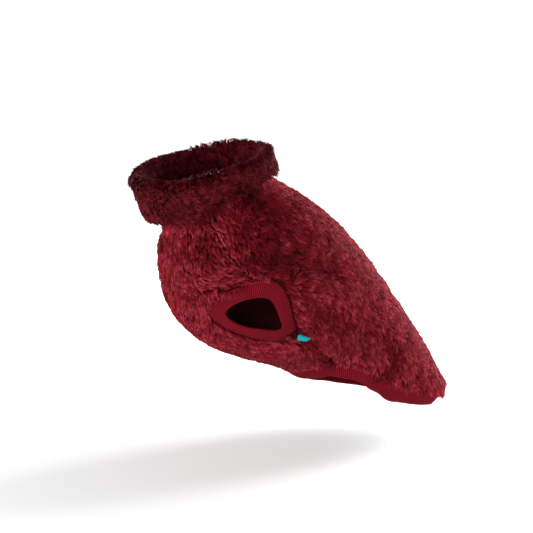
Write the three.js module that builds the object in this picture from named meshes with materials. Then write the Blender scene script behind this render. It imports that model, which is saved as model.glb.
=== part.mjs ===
// A sleeveless pullover dog sweater, small size, in long-pile teddy fleece, filled out as it is when it
// is worn sitting. A back panel and a chest panel meet in a shoulder seam and a side seam on each side
// and leave an armhole between them. A roll-neck collar is turned down outside the neck, rib-knit bands
// finish the armholes and the hem, and a folded tape tab is caught in the left side seam.
//
// Millimetres. +Z is up, the chest faces -Y, and the garment's left side is +X. The origin is inside
// the base of the neck, close under the back panel, where the worn garment is carried.

import * as THREE from "three";

// Driving dimensions
const FLEECE_WALL = 6; // knitted base and standing pile together
const COLLAR_WALL = 6;
const RIB_WALL = 2.2; // rib knit folded double
const SEAM_GAP = 0.5; // free space between two sewn pieces
const HEM_GAP = 1.5; // the same where the hem's edge twists
const RIB_DEPTH = 3.2; // how far below the pile's tips a rib band starts
const ARM_BAND = 14.5; // width of the rib band round each armhole
const HEM_BAND = 17; // width of the rib band round the hem
const RIB_SWELL = 0.8; // how far a rib band rounds out between its seam and its free edge
const TAB_WIDTH = 8;
const TAB_LENGTH = 8;
const TAB_WALL = 1.4;

// Sections of the body, from the collar seam (ring 0) to the edge of the fleece at the hem (ring 10).
// Each one passes through a point on the chest or belly and a point on the back, half_width to each
// side. widest is where the widest place lies between the two, quarter raises the quarters beside the
// belly, side raises the flanks, and square is the exponent of the outline at the belly, where 2 is an
// ellipse and more is boxier.
const SECTIONS = [
  { chest_y: -98, chest_z: -6, back_y: -14, back_z: 21,
    half_width: 42, widest: 0.5, quarter: 0, side: 0, square: 2.0 },
  { chest_y: -101, chest_z: -28, back_y: 1, back_z: 13.5,
    half_width: 47, widest: 0.5, quarter: 0, side: 0, square: 2.0 },
  { chest_y: -101, chest_z: -48, back_y: 31, back_z: -3,
    half_width: 60, widest: 0.48, quarter: 0, side: 0, square: 2.1 },
  { chest_y: -99, chest_z: -70, back_y: 62, back_z: -24,
    half_width: 68, widest: 0.46, quarter: 0, side: 0, square: 2.1 },
  { chest_y: -93, chest_z: -94, back_y: 90, back_z: -50,
    half_width: 73, widest: 0.45, quarter: 0, side: 0, square: 2.1 },
  { chest_y: -78, chest_z: -116, back_y: 115, back_z: -78,
    half_width: 76, widest: 0.45, quarter: 1, side: 0.3, square: 2.1 },
  { chest_y: -57, chest_z: -133, back_y: 138, back_z: -107,
    half_width: 77, widest: 0.45, quarter: 3, side: 1, square: 2.1 },
  { chest_y: -33, chest_z: -145, back_y: 159, back_z: -134,
    half_width: 77, widest: 0.45, quarter: 5, side: 1.5, square: 2.15 },
  { chest_y: -8, chest_z: -154, back_y: 177, back_z: -160,
    half_width: 76, widest: 0.45, quarter: 8, side: 2, square: 2.3 },
  { chest_y: 12, chest_z: -161, back_y: 190, back_z: -184,
    half_width: 74, widest: 0.44, quarter: 11, side: 2, square: 2.55 },
  { chest_y: 26, chest_z: -167, back_y: 198, back_z: -202,
    half_width: 71, widest: 0.44, quarter: 14, side: 2, square: 2.8 },
];
const HEM_RING = SECTIONS.length - 1;
const BACK_SQUARE = 2.1; // the exponent at the back

// Seams and armhole on the left side, in ring numbers and degrees round the body from the middle of
// the chest (0) to the middle of the back (180). The right side mirrors them. The armhole spreads from
// the seam's line by degrees, and below 1 its fullness makes the front rounder. The rings dip in front
// of the side seam, where the armhole is deepest.
const SHOULDER_SEAM = { angle: 43, bend: 1.7 };
const SIDE_SEAM = { hem_angle: 35, bend: 1.5 };
const ARMHOLE = { top_ring: 3.28, top_angle: 57, low_ring: 5.45, low_angle: 61 };
const ARMHOLE_SPREAD = { chest: 38.5, fullness: 0.8, back: 13.4, back_skew: 0.75 };
const ROW_DIP = { by: 0.55, ring: 5.3, ring_spread: 1.4, angle: 42, angle_spread: 12 };
const SEAM_DIP = { depth: 1.5, spread: 5 }; // the cloth sinks beside a seam

// Directions in which a rib band leaves the armhole's edge, as shares
const ARM_RUN = { inward: 0.85, outward: 0.32, down: 0.2 };

// How far the hem band turns in under the body, in degrees, and the share of straight down in its
// direction. Below 0 it flares out at the sides.
const HEM_CURL = [
  { angle: 0, curl: 14, hang: 0.6 },
  { angle: 30, curl: 0, hang: 0.6 },
  { angle: 50, curl: -4, hang: 1.2 },
  { angle: 66, curl: 0, hang: 1.5 },
  { angle: 85, curl: 12, hang: 0.9 },
  { angle: 105, curl: 42, hang: 0.5 },
  { angle: 135, curl: 70, hang: 0.5 },
  { angle: 180, curl: 82, hang: 0.5 },
];

// Soft folds of the worn cloth. Each runs from one ring and angle to another, with the left side's
// angles above 0 and the right side's below. rise is outwards where it is positive, and width is how
// far the fold spreads, in millimetres.
const FOLDS = [
  { name: "crease over the armhole", ring: 2.5, angle: 65, to_ring: 4.0, to_angle: 118, width: 9, rise: -4.2 },
  { name: "roll below it", ring: 3.2, angle: 72, to_ring: 4.7, to_angle: 112, width: 13, rise: 2.8 },
  { name: "pull to the hem", ring: 6.1, angle: 57, to_ring: 9.4, to_angle: 38, width: 8, rise: -3.6 },
  { name: "crease by the hem", ring: 7.3, angle: 110, to_ring: 8.8, to_angle: 87, width: 8, rise: -3.8 },
  { name: "fold under the collar", ring: 1.3, angle: 34, to_ring: 2.0, to_angle: 2, width: 8, rise: -3.0 },
  { name: "swell of the chest", ring: 2.9, angle: 22, to_ring: 3.9, to_angle: 8, width: 15, rise: 2.2 },
  { name: "flank hollow", ring: 5.2, angle: 92, to_ring: 6.6, to_angle: 112, width: 14, rise: -2.4 },
  { name: "crease over the armhole", ring: 2.4, angle: -70, to_ring: 3.7, to_angle: -125, width: 9, rise: -3.8 },
  { name: "roll below it", ring: 3.4, angle: -80, to_ring: 4.5, to_angle: -118, width: 12, rise: 2.6 },
  { name: "pull to the hem", ring: 6.9, angle: -54, to_ring: 9.6, to_angle: -45, width: 9, rise: -3.2 },
  { name: "crease by the hem", ring: 7.9, angle: -120, to_ring: 9.5, to_angle: -98, width: 9, rise: -3.2 },
  { name: "fold under the collar", ring: 1.2, angle: -42, to_ring: 1.7, to_angle: -14, width: 9, rise: -2.6 },
  { name: "flank hollow", ring: 5.6, angle: -88, to_ring: 6.9, to_angle: -104, width: 15, rise: -1.5 },
  { name: "swell over the hem", ring: 9.4, angle: 140, to_ring: 9.5, to_angle: 220, width: 14, rise: 2.6 },
];
const FOLD_MM_PER_RING = 27;
const FOLD_MM_PER_DEGREE = 1.3;

// The roll-neck collar: a ring at its top fold and one at its lower edge, both along the middle of the
// wall. Each passes through a front and a back point, and sides lifts it half way between them.
const COLLAR_FOLD = { front_y: -130, front_z: 17, back_y: -9, back_z: 42, half_width: 50, sides: 0 };
const COLLAR_EDGE = { front_y: -112, front_z: -17, back_y: -4, back_z: 24, half_width: 55, sides: 7 };
const COLLAR_TURN = COLLAR_WALL / 2 + 0.9; // radius of the fold along the middle of the wall
const COLLAR_TUCK = 0.35; // how far the lower edge turns back towards the neck

// Waves of the turned-down collar. spread is in degrees, push moves its lower edge out, drop lowers
// that edge and top raises the fold.
const COLLAR_WAVES = [
  { angle: -34, spread: 20, push: 0, drop: 7, top: 0 },
  { angle: -38, spread: 7, push: -2.6, drop: 0, top: -1.2 },
  { angle: 8, spread: 17, push: 2.0, drop: 1, top: 0.5 },
  { angle: 40, spread: 16, push: -1.0, drop: 3.5, top: -1.5 },
  { angle: 74, spread: 13, push: 2.4, drop: -1, top: 0.8 },
  { angle: 104, spread: 12, push: -1.0, drop: 1, top: -0.6 },
  { angle: 140, spread: 16, push: 2.0, drop: -1.5, top: 0.8 },
  { angle: 176, spread: 12, push: -1.0, drop: 0.5, top: -0.8 },
  { angle: 214, spread: 17, push: 1.8, drop: -1, top: 0.6 },
  { angle: 252, spread: 11, push: -1.2, drop: 1.5, top: -0.5 },
  { angle: 287, spread: 15, push: 2.2, drop: 0, top: 0.8 },
];

// Where the tab hangs from the side seam: the ring of its upper corner, how many millimetres that corner
// lies behind the seam, how far the tab has swung down in degrees, and its height over the pile
const TAB = { ring: 5.55, behind: 2, swing: 50, clearance: 0.8 };

// Mesh steps
const BODY_ROWS = { shoulder: 9, armhole: 16, flank: 14 };
const BACK_COLUMNS = 38;
const CHEST_COLUMNS = 20;
const ARM_SMOOTHING = 3; // steps to each side over which a band's direction is evened out
const ARM_ROUNDING = 4; // the same for the places of its free edge
const HEM_SMOOTHING = 6;
const COLLAR_STAND_STEPS = 4;
const COLLAR_TURN_STEPS = 4;
const COLLAR_FALL_STEPS = 5;
const TAB_STEPS = 3;

const radians = THREE.MathUtils.degToRad;
const vector = (x, y, z) => new THREE.Vector3(x, y, z);

// The difference between two angles, as -180 to 180 degrees.
const turnBetween = (angle, other) => THREE.MathUtils.euclideanModulo(angle - other + 180, 360) - 180;

// A column of the section table at a ring number between its rows, as a smooth curve.
function column(key, ring) {
  const last = SECTIONS.length - 1;
  const i = Math.min(Math.max(Math.floor(ring), 0), last - 1);
  const at = (k) => {
    if (k < 0) return 2 * SECTIONS[0][key] - SECTIONS[1][key];
    if (k > last) return 2 * SECTIONS[last][key] - SECTIONS[last - 1][key];
    return SECTIONS[k][key];
  };
  const t = ring - i;
  const [p, q, r, s] = [at(i - 1), at(i), at(i + 1), at(i + 2)];
  return q + 0.5 * t * (r - p + t * (2 * p - 5 * q + 4 * r - s + t * (3 * (q - r) + s - p)));
}

// A point on the smooth body, before its folds.
function bodyForm(row, angle) {
  const fromDip = (Math.abs(turnBetween(angle, 0)) - ROW_DIP.angle) / ROW_DIP.angle_spread;
  const fromRing = (row - ROW_DIP.ring) / ROW_DIP.ring_spread;
  const ring = row + ROW_DIP.by * Math.exp(-(fromDip ** 2) - fromRing ** 2);
  const chest = new THREE.Vector2(column("chest_y", ring), column("chest_z", ring));
  const back = new THREE.Vector2(column("back_y", ring), column("back_z", ring));
  const widest = column("widest", ring);
  const depth = chest.distanceTo(back);
  const along = back.clone().sub(chest).divideScalar(depth);
  const centre = chest.clone().addScaledVector(along, widest * depth);
  const a = radians(angle);
  const reach = Math.cos(a) > 0 ? widest * depth : (1 - widest) * depth;
  const half = column("half_width", ring);
  const n = THREE.MathUtils.lerp(BACK_SQUARE, column("square", ring), (1 + Math.cos(a)) / 2);
  const r = (Math.abs(Math.cos(a) / reach) ** n + Math.abs(Math.sin(a) / half) ** n) ** (-1 / n);
  const atQuarter = Math.cos(a) > 0 ? Math.sin(2 * a) ** 2 : 0;
  const lift = column("quarter", ring) * atQuarter + column("side", ring) * Math.sin(a) ** 2;
  return vector(
    r * Math.sin(a),
    centre.x - r * Math.cos(a) * along.x,
    centre.y - r * Math.cos(a) * along.y + lift,
  );
}

// The outward normal of a surface given as a function of ring and angle.
function normalOf(surface, ring, angle) {
  const across = surface(ring, angle + 0.5).sub(surface(ring, angle - 0.5));
  const down = surface(ring + 0.02, angle).sub(surface(ring - 0.02, angle));
  return down.cross(across).normalize();
}

// The seam between the two panels on the left side, above, across and below the armhole.
function seamAngle(ring) {
  const { top_ring, top_angle, low_ring, low_angle } = ARMHOLE;
  const { lerp } = THREE.MathUtils;
  if (ring < top_ring) {
    const share = Math.max(ring, 0) / top_ring;
    return lerp(SHOULDER_SEAM.angle, top_angle, share ** SHOULDER_SEAM.bend);
  }
  if (ring < low_ring) return lerp(top_angle, low_angle, (ring - top_ring) / (low_ring - top_ring));
  const share = (ring - low_ring) / (HEM_RING - low_ring);
  return lerp(low_angle, SIDE_SEAM.hem_angle, share ** SIDE_SEAM.bend);
}

// How far the folds and the seams move the cloth outwards at a place on the body.
function foldRise(ring, angle) {
  let rise = 0;
  for (const fold of FOLDS) {
    const middle = (fold.angle + fold.to_angle) / 2;
    const place = (r, a) => new THREE.Vector2(r * FOLD_MM_PER_RING, a * FOLD_MM_PER_DEGREE);
    const here = place(ring, turnBetween(angle, middle));
    const from = place(fold.ring, fold.angle - middle);
    const run = place(fold.to_ring, fold.to_angle - middle).sub(from);
    const share = THREE.MathUtils.clamp(here.clone().sub(from).dot(run) / run.lengthSq(), 0, 1);
    const off = here.distanceTo(from.addScaledVector(run, share));
    rise += fold.rise * Math.exp(-((off / fold.width) ** 2));
  }
  const fromSeam = (Math.abs(turnBetween(angle, 0)) - seamAngle(ring)) * FOLD_MM_PER_DEGREE;
  return rise - SEAM_DIP.depth * Math.exp(-((fromSeam / SEAM_DIP.spread) ** 2));
}

// The reach of the pile on the worn body.
function bodySurface(ring, angle) {
  return bodyForm(ring, angle).addScaledVector(normalOf(bodyForm, ring, angle), foldRise(ring, angle));
}

// A point that lies a depth below the pile's tips.
function below(ring, angle, depth) {
  return bodySurface(ring, angle).addScaledVector(normalOf(bodySurface, ring, angle), -depth);
}

// The direction down the body, square to a panel's edge that follows a ring.
function downBody(ring, angle) {
  const across = bodySurface(ring, angle + 0.5).sub(bodySurface(ring, angle - 0.5));
  return across.cross(normalOf(bodySurface, ring, angle)).normalize();
}

// The armhole's edge at a turn round it, from its top over the back panel to its low end.
function armholeEdge(turn) {
  const { top_ring, low_ring } = ARMHOLE;
  const ring = (top_ring + low_ring) / 2 - ((low_ring - top_ring) / 2) * Math.cos(turn);
  const { chest, fullness, back, back_skew } = ARMHOLE_SPREAD;
  const across = Math.sin(turn);
  const spread = across > 0 ? back * across * (1 + back_skew * Math.cos(turn)) : -chest * (-across) ** fullness;
  return { ring, angle: seamAngle(ring) + spread };
}

// The edge of the back panel (side 1) or the chest panel (side -1) on the left, in degrees.
function panelEdge(ring, side) {
  const { top_ring, low_ring } = ARMHOLE;
  const height = ((top_ring + low_ring) / 2 - ring) / ((low_ring - top_ring) / 2);
  const atHole = Math.abs(height) < 1;
  const edge = atHole ? armholeEdge(side * Math.acos(height)).angle : seamAngle(ring);
  return edge + side * gapAngle(ring);
}

// Half of a seam's gap, as degrees round the body.
function gapAngle(ring) {
  const angle = seamAngle(ring);
  return SEAM_GAP / (2 * bodyForm(ring, angle + 0.5).distanceTo(bodyForm(ring, angle - 0.5)));
}

const chestEdge = (ring) => panelEdge(ring, -1);
const backEdge = (ring) => panelEdge(ring, 1);

// Ring numbers of the body's mesh rows, close together where the armhole turns.
function bodyRows() {
  const { top_ring, low_ring } = ARMHOLE;
  const rows = [];
  for (let i = 0; i < BODY_ROWS.shoulder; i++) rows.push((top_ring * i) / BODY_ROWS.shoulder);
  for (let i = 0; i < BODY_ROWS.armhole; i++) rows.push(armholeEdge((Math.PI * i) / BODY_ROWS.armhole).ring);
  for (let i = 0; i <= BODY_ROWS.flank; i++)
    rows.push(THREE.MathUtils.lerp(low_ring, HEM_RING, i / BODY_ROWS.flank));
  return rows;
}

// Angles of the mesh columns right round the body, for the bands that are sewn to its ends.
function columnsRound(ring) {
  const { lerp } = THREE.MathUtils;
  const angles = [];
  for (let j = 0; j <= BACK_COLUMNS; j++)
    angles.push(lerp(backEdge(ring), 360 - backEdge(ring), j / BACK_COLUMNS));
  for (let j = 1; j < CHEST_COLUMNS; j++)
    angles.push(lerp(360 - chestEdge(ring), 360 + chestEdge(ring), j / CHEST_COLUMNS));
  return angles;
}

// Turns a list of points and triangles into a geometry whose faces point out.
function solid(points, triangles) {
  let volume = 0;
  for (const [a, b, c] of triangles)
    volume += points[a].dot(new THREE.Vector3().crossVectors(points[b], points[c]));
  const index = triangles.flatMap(([a, b, c]) => (volume > 0 ? [a, b, c] : [a, c, b]));
  const geometry = new THREE.BufferGeometry().setFromPoints(points);
  geometry.setIndex(index);
  geometry.computeVertexNormals();
  return geometry;
}

// A wall between an outer and an inner grid of points with the same rows and columns.
function panelSolid(outer, inner) {
  const rows = outer.length;
  const columns = outer[0].length;
  const points = [...outer.flat(), ...inner.flat()];
  const out = (i, j) => i * columns + j;
  const inn = (i, j) => rows * columns + i * columns + j;
  const triangles = [];
  const quad = (a, b, c, d) => triangles.push([a, b, c], [a, c, d]);
  for (let i = 0; i + 1 < rows; i++) {
    for (let j = 0; j + 1 < columns; j++) {
      quad(out(i, j), out(i, j + 1), out(i + 1, j + 1), out(i + 1, j));
      quad(inn(i, j), inn(i + 1, j), inn(i + 1, j + 1), inn(i, j + 1));
    }
    quad(out(i, 0), out(i + 1, 0), inn(i + 1, 0), inn(i, 0));
    quad(out(i, columns - 1), inn(i, columns - 1), inn(i + 1, columns - 1), out(i + 1, columns - 1));
  }
  for (let j = 0; j + 1 < columns; j++) {
    quad(out(0, j), inn(0, j), inn(0, j + 1), out(0, j + 1));
    quad(out(rows - 1, j), out(rows - 1, j + 1), inn(rows - 1, j + 1), inn(rows - 1, j));
  }
  return solid(points, triangles);
}

// A closed band: one closed outline of points for each step round it.
function bandSolid(outlines) {
  const steps = outlines.length;
  const size = outlines[0].length;
  const triangles = [];
  for (let i = 0; i < steps; i++) {
    for (let j = 0; j < size; j++) {
      const a = i * size + j;
      const b = i * size + ((j + 1) % size);
      const c = ((i + 1) % steps) * size + ((j + 1) % size);
      const d = ((i + 1) % steps) * size + j;
      triangles.push([a, b, c], [a, c, d]);
    }
  }
  return solid(outlines.flat(), triangles);
}

// One outline of a rib band, from its root in cloth whose outer normal is out to its free edge.
function ribOutline(root, end, out) {
  const run = end.clone().sub(root).normalize();
  const across = out.clone().addScaledVector(run, -out.dot(run)).normalize();
  const middle = root.clone().lerp(end, 0.5).addScaledVector(across, RIB_SWELL);
  const inside = (point, way) => point.clone().addScaledVector(way, -RIB_WALL);
  return [root, middle, end, inside(end, across), inside(middle, across), inside(root, out)];
}

// The mean direction of a few steps to each side of step k, in a list that closes on itself.
function evened(directions, k, reach) {
  const count = directions.length;
  const sum = vector(0, 0, 0);
  for (let d = -reach; d <= reach; d++) sum.add(directions[(k + d + count) % count]);
  return sum.normalize();
}

// The mean place of a list of points.
function meanOf(points) {
  return points.reduce((sum, p) => sum.add(p), vector(0, 0, 0)).divideScalar(points.length);
}

// A closed line of points made rounder. Each moves to the mean of a few to each side of it, and the
// line is then brought back to its size.
function rounded(points, reach) {
  const count = points.length;
  const centre = meanOf(points);
  const means = points.map((_, k) => {
    const near = Array.from({ length: 2 * reach + 1 }, (_, d) => points[(k + d - reach + count) % count]);
    return meanOf(near);
  });
  const size = (list) => list.reduce((sum, p) => sum + p.distanceTo(centre), 0);
  const scale = size(points) / size(means);
  return means.map((p) => p.sub(centre).multiplyScalar(scale).add(centre));
}

// Fleece body panels
function panel(columns, firstAngle, lastAngle) {
  const grid = (depth) =>
    bodyRows().map((ring) =>
      Array.from({ length: columns + 1 }, (_, j) =>
        below(ring, THREE.MathUtils.lerp(firstAngle(ring), lastAngle(ring), j / columns), depth),
      ),
    );
  return panelSolid(grid(0), grid(FLEECE_WALL));
}

const backPanel = () => panel(BACK_COLUMNS, backEdge, (ring) => 360 - backEdge(ring));
const chestPanel = () => panel(CHEST_COLUMNS, (ring) => -chestEdge(ring), chestEdge);

// Roll-neck collar. Its wall stands up from the neck seam, turns over and hangs down outside.
function collarRing({ front_y, front_z, back_y, back_z, half_width, sides }, angle) {
  const a = radians(angle);
  const toBack = (1 - Math.cos(a)) / 2;
  const { lerp } = THREE.MathUtils;
  const height = lerp(front_z, back_z, toBack) + sides * Math.sin(a) ** 2;
  return vector(half_width * Math.sin(a), lerp(front_y, back_y, toBack), height);
}

function collarWave(key, angle) {
  return COLLAR_WAVES.reduce((sum, wave) => {
    const off = turnBetween(angle, wave.angle) / wave.spread;
    return sum + wave[key] * Math.exp(-off * off);
  }, 0);
}

function collarLine(angle) {
  const up = vector(0, 0, 1);
  const seam = below(0, angle, FLEECE_WALL / 2);
  const rise = downBody(0, angle).negate();
  seam.addScaledVector(rise, SEAM_GAP);
  const top = collarRing(COLLAR_FOLD, angle).addScaledVector(up, collarWave("top", angle));
  const around = collarRing(COLLAR_FOLD, angle + 1).sub(collarRing(COLLAR_FOLD, angle - 1)).normalize();
  const edge = collarRing(COLLAR_EDGE, angle).addScaledVector(up, -collarWave("drop", angle));
  edge.addScaledVector(vector(around.y, -around.x, 0).normalize(), collarWave("push", angle));
  const fromSeam = top.clone().sub(seam).normalize();
  const fromEdge = top.clone().sub(edge).normalize();
  const crown = fromSeam.clone().add(fromEdge);
  crown.addScaledVector(around, -crown.dot(around)).normalize();
  const out = around.clone().cross(crown).normalize();
  const centre = top.clone().addScaledVector(crown, -COLLAR_TURN);
  const turnStart = centre.clone().addScaledVector(out, -COLLAR_TURN);
  const turnEnd = centre.clone().addScaledVector(out, COLLAR_TURN);
  const standReach = turnStart.distanceTo(seam) * 0.4;
  const fallReach = turnEnd.distanceTo(edge) * 0.36;
  const tuck = fromEdge.clone().addScaledVector(out, COLLAR_TUCK).normalize();
  const stand = new THREE.CubicBezierCurve3(
    seam,
    seam.clone().addScaledVector(rise, standReach),
    turnStart.clone().addScaledVector(crown, -standReach),
    turnStart,
  );
  const fall = new THREE.CubicBezierCurve3(
    turnEnd,
    turnEnd.clone().addScaledVector(crown, -fallReach),
    edge.clone().addScaledVector(tuck, fallReach),
    edge,
  );
  const turn = Array.from({ length: COLLAR_TURN_STEPS - 1 }, (_, k) => {
    const t = Math.PI * ((k + 1) / COLLAR_TURN_STEPS);
    const point = centre.clone().addScaledVector(out, -COLLAR_TURN * Math.cos(t));
    point.addScaledVector(crown, COLLAR_TURN * Math.sin(t));
    const tangent = out.clone().multiplyScalar(Math.sin(t)).addScaledVector(crown, Math.cos(t));
    return { point, tangent };
  });
  const along = (curve, steps) =>
    Array.from({ length: steps + 1 }, (_, k) => {
      return { point: curve.getPoint(k / steps), tangent: curve.getTangent(k / steps) };
    });
  return [...along(stand, COLLAR_STAND_STEPS), ...turn, ...along(fall, COLLAR_FALL_STEPS)];
}

function collar() {
  const outlines = columnsRound(0).map((angle) => {
    const line = collarLine(angle);
    const before = collarLine(angle - 1);
    const after = collarLine(angle + 1);
    const face = (side) =>
      line.map(({ point, tangent }, k) => {
        const around = after[k].point.clone().sub(before[k].point);
        const away = around.cross(tangent).normalize();
        return point.clone().addScaledVector(away, (side * COLLAR_WALL) / 2);
      });
    return [...face(1), ...face(-1).reverse()];
  });
  return bandSolid(outlines);
}

// Rib band round the armhole on the left (side 1) or the right (side -1). It starts under the fleece's
// edge and its elastic draws it in, outwards and down, as a very short sleeve.
function armBand(side) {
  const steps = 2 * BODY_ROWS.armhole;
  const places = Array.from({ length: steps }, (_, k) => armholeEdge((2 * Math.PI * k) / steps));
  const edges = places.map(({ ring, angle }) => below(ring, side * angle, RIB_DEPTH));
  const normals = places.map(({ ring, angle }) => normalOf(bodySurface, ring, side * angle));
  const outward = normals.reduce((sum, n) => sum.add(n), vector(0, 0, 0)).normalize();
  const centre = meanOf(edges);
  const down = vector(0, 0, -1);
  down.addScaledVector(outward, -down.dot(outward)).normalize();
  const runs = edges.map((edge) => {
    const run = centre.clone().sub(edge);
    run.addScaledVector(outward, -run.dot(outward)).normalize().multiplyScalar(ARM_RUN.inward);
    return run.addScaledVector(outward, ARM_RUN.outward).addScaledVector(down, ARM_RUN.down);
  });
  const roots = edges.map((edge, k) => {
    const along = edges[(k + 1) % steps].clone().sub(edges[(k + steps - 1) % steps]);
    return edge.clone().addScaledVector(along.cross(normals[k]).normalize(), side * SEAM_GAP);
  });
  const ends = roots.map((root, k) => root.clone().addScaledVector(evened(runs, k, ARM_SMOOTHING), ARM_BAND));
  const freeEdge = rounded(ends, ARM_ROUNDING);
  return bandSolid(roots.map((root, k) => ribOutline(root, freeEdge[k], normals[k])));
}

// A column of the hem's curl table at an angle between its rows.
function hemColumn(key, angle) {
  const next = Math.max(HEM_CURL.findIndex((row) => row.angle >= angle), 1);
  const [from, to] = [HEM_CURL[next - 1], HEM_CURL[next]];
  return THREE.MathUtils.lerp(from[key], to[key], (angle - from.angle) / (to.angle - from.angle));
}

// Rib band round the hem. It hangs from the fleece's edge and turns in under the back.
function hemBand() {
  const angles = columnsRound(HEM_RING);
  const normals = angles.map((angle) => normalOf(bodySurface, HEM_RING, angle));
  const downs = angles.map((angle) => downBody(HEM_RING, angle));
  const runs = angles.map((angle, k) => {
    const fromChest = Math.abs(turnBetween(angle, 0));
    const curl = radians(hemColumn("curl", fromChest));
    const run = downs[k].clone().multiplyScalar(Math.cos(curl)).addScaledVector(normals[k], -Math.sin(curl));
    return run.addScaledVector(vector(0, 0, -1), hemColumn("hang", fromChest));
  });
  const outlines = angles.map((angle, k) => {
    const root = below(HEM_RING, angle, RIB_DEPTH).addScaledVector(downs[k], HEM_GAP);
    const end = root.clone().addScaledVector(evened(runs, k, HEM_SMOOTHING), HEM_BAND);
    return ribOutline(root, end, normals[k]);
  });
  return bandSolid(outlines);
}

// Folded tape tab. It is caught in the left side seam and lies over it.
function sideTab() {
  const seamLength = bodySurface(TAB.ring, seamAngle(TAB.ring)).distanceTo(
    bodySurface(TAB.ring + 0.1, seamAngle(TAB.ring + 0.1)),
  );
  const ringsPerMm = 0.1 / seamLength;
  const swing = radians(TAB.swing);
  const grid = (height) =>
    Array.from({ length: TAB_STEPS + 1 }, (_, i) =>
      Array.from({ length: TAB_STEPS + 1 }, (_, j) => {
        const along = (TAB_WIDTH * i) / TAB_STEPS;
        const hang = (TAB_LENGTH * j) / TAB_STEPS;
        const ring = TAB.ring + ringsPerMm * (along * Math.cos(swing) + hang * Math.sin(swing));
        const behind = TAB.behind - along * Math.sin(swing) + hang * Math.cos(swing);
        return below(ring, seamAngle(ring) + behind / FOLD_MM_PER_DEGREE, -height);
      }),
    );
  return panelSolid(grid(TAB.clearance + TAB_WALL), grid(TAB.clearance));
}

const fabric = (color, roughness) => new THREE.MeshStandardMaterial({ color, roughness, metalness: 0 });
const fleeceCloth = fabric(0x7a1226, 0.95);
const ribCloth = fabric(0x8c1428, 0.85);
const tabTape = fabric(0x16b4c4, 0.7);

const sweater = new THREE.Group();

function add(name, geometry, material) {
  const mesh = new THREE.Mesh(geometry, material);
  mesh.name = name;
  sweater.add(mesh);
}

add("back_panel", backPanel(), fleeceCloth);
add("chest_panel", chestPanel(), fleeceCloth);
add("collar", collar(), fleeceCloth);
add("armhole_rib_left", armBand(1), ribCloth);
add("armhole_rib_right", armBand(-1), ribCloth);
add("hem_rib", hemBand(), ribCloth);
add("label_tab", sideTab(), tabTape);

export default sweater;
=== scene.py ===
# A small sleeveless dog sweater in burgundy teddy fleece with rib-knit bands, in its worn form and hollow.
# Metres, +Z up. The chest faces -Y and the garment's left side is +X. Lengths in the tables are millimetres.

import math

import bpy
import numpy as np
from mathutils import Matrix, Vector
from mathutils.kdtree import KDTree


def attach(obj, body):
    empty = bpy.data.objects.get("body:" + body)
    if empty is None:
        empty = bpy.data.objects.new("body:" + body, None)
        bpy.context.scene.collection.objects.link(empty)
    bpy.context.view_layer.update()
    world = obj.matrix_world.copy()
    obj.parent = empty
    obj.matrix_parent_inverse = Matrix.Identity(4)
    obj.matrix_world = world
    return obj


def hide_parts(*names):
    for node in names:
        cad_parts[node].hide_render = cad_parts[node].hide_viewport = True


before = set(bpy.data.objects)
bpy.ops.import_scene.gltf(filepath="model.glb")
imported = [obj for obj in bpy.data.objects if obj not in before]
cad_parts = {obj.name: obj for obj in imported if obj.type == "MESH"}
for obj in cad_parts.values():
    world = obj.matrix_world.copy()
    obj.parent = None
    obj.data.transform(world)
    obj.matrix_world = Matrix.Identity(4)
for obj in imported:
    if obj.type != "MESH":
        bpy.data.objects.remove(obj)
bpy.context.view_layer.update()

# Back panel and chest panel: the knitted base of the teddy fleece, a thin cloth that the pile stands on.
# Each panel is one cut, sewn to the other at the shoulders and the sides, with an armhole between them.
# The worn form is a row of sections from the collar seam (ring 0) to the fleece's edge at the hem (ring 10).

MM = 0.001
SECTION_COLUMNS = ["chest_y", "chest_z", "back_y", "back_z", "half_width", "widest",
                   "quarter", "side", "square"]
SECTIONS = np.array([
    [-98, -6, -14, 21, 42, 0.5, 0, 0, 2.0],
    [-101, -28, 1, 13.5, 47, 0.5, 0, 0, 2.0],
    [-101, -48, 31, -3, 60, 0.48, 0, 0, 2.1],
    [-99, -70, 62, -24, 68, 0.46, 0, 0, 2.1],
    [-93, -94, 90, -50, 73, 0.45, 0, 0, 2.1],
    [-78, -116, 115, -78, 76, 0.45, 1, 0.3, 2.1],
    [-57, -133, 138, -107, 77, 0.45, 3, 1, 2.1],
    [-33, -145, 159, -134, 77, 0.45, 5, 1.5, 2.15],
    [-8, -154, 177, -160, 76, 0.45, 8, 2, 2.3],
    [12, -161, 190, -184, 74, 0.44, 11, 2, 2.55],
    [26, -167, 198, -202, 71, 0.44, 14, 2, 2.8],
])
HEM_RING = len(SECTIONS) - 1
BACK_SQUARE = 2.1
SHOULDER_SEAM = {"angle": 43, "bend": 1.7}
SIDE_SEAM = {"hem_angle": 35, "bend": 1.5}
ARMHOLE = {"top_ring": 3.28, "top_angle": 57, "low_ring": 5.45, "low_angle": 61}
ARMHOLE_SPREAD = {"chest": 38.5, "fullness": 0.8, "back": 13.4, "back_skew": 0.75}
ROW_DIP = {"by": 0.55, "ring": 5.3, "ring_spread": 1.4, "angle": 42, "angle_spread": 12}
SEAM_DIP = {"depth": 1.5, "spread": 5}
SEAM_GAP = 0.5
FLEECE_WALL = 6
BASE_CLOTH = 1.4

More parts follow.
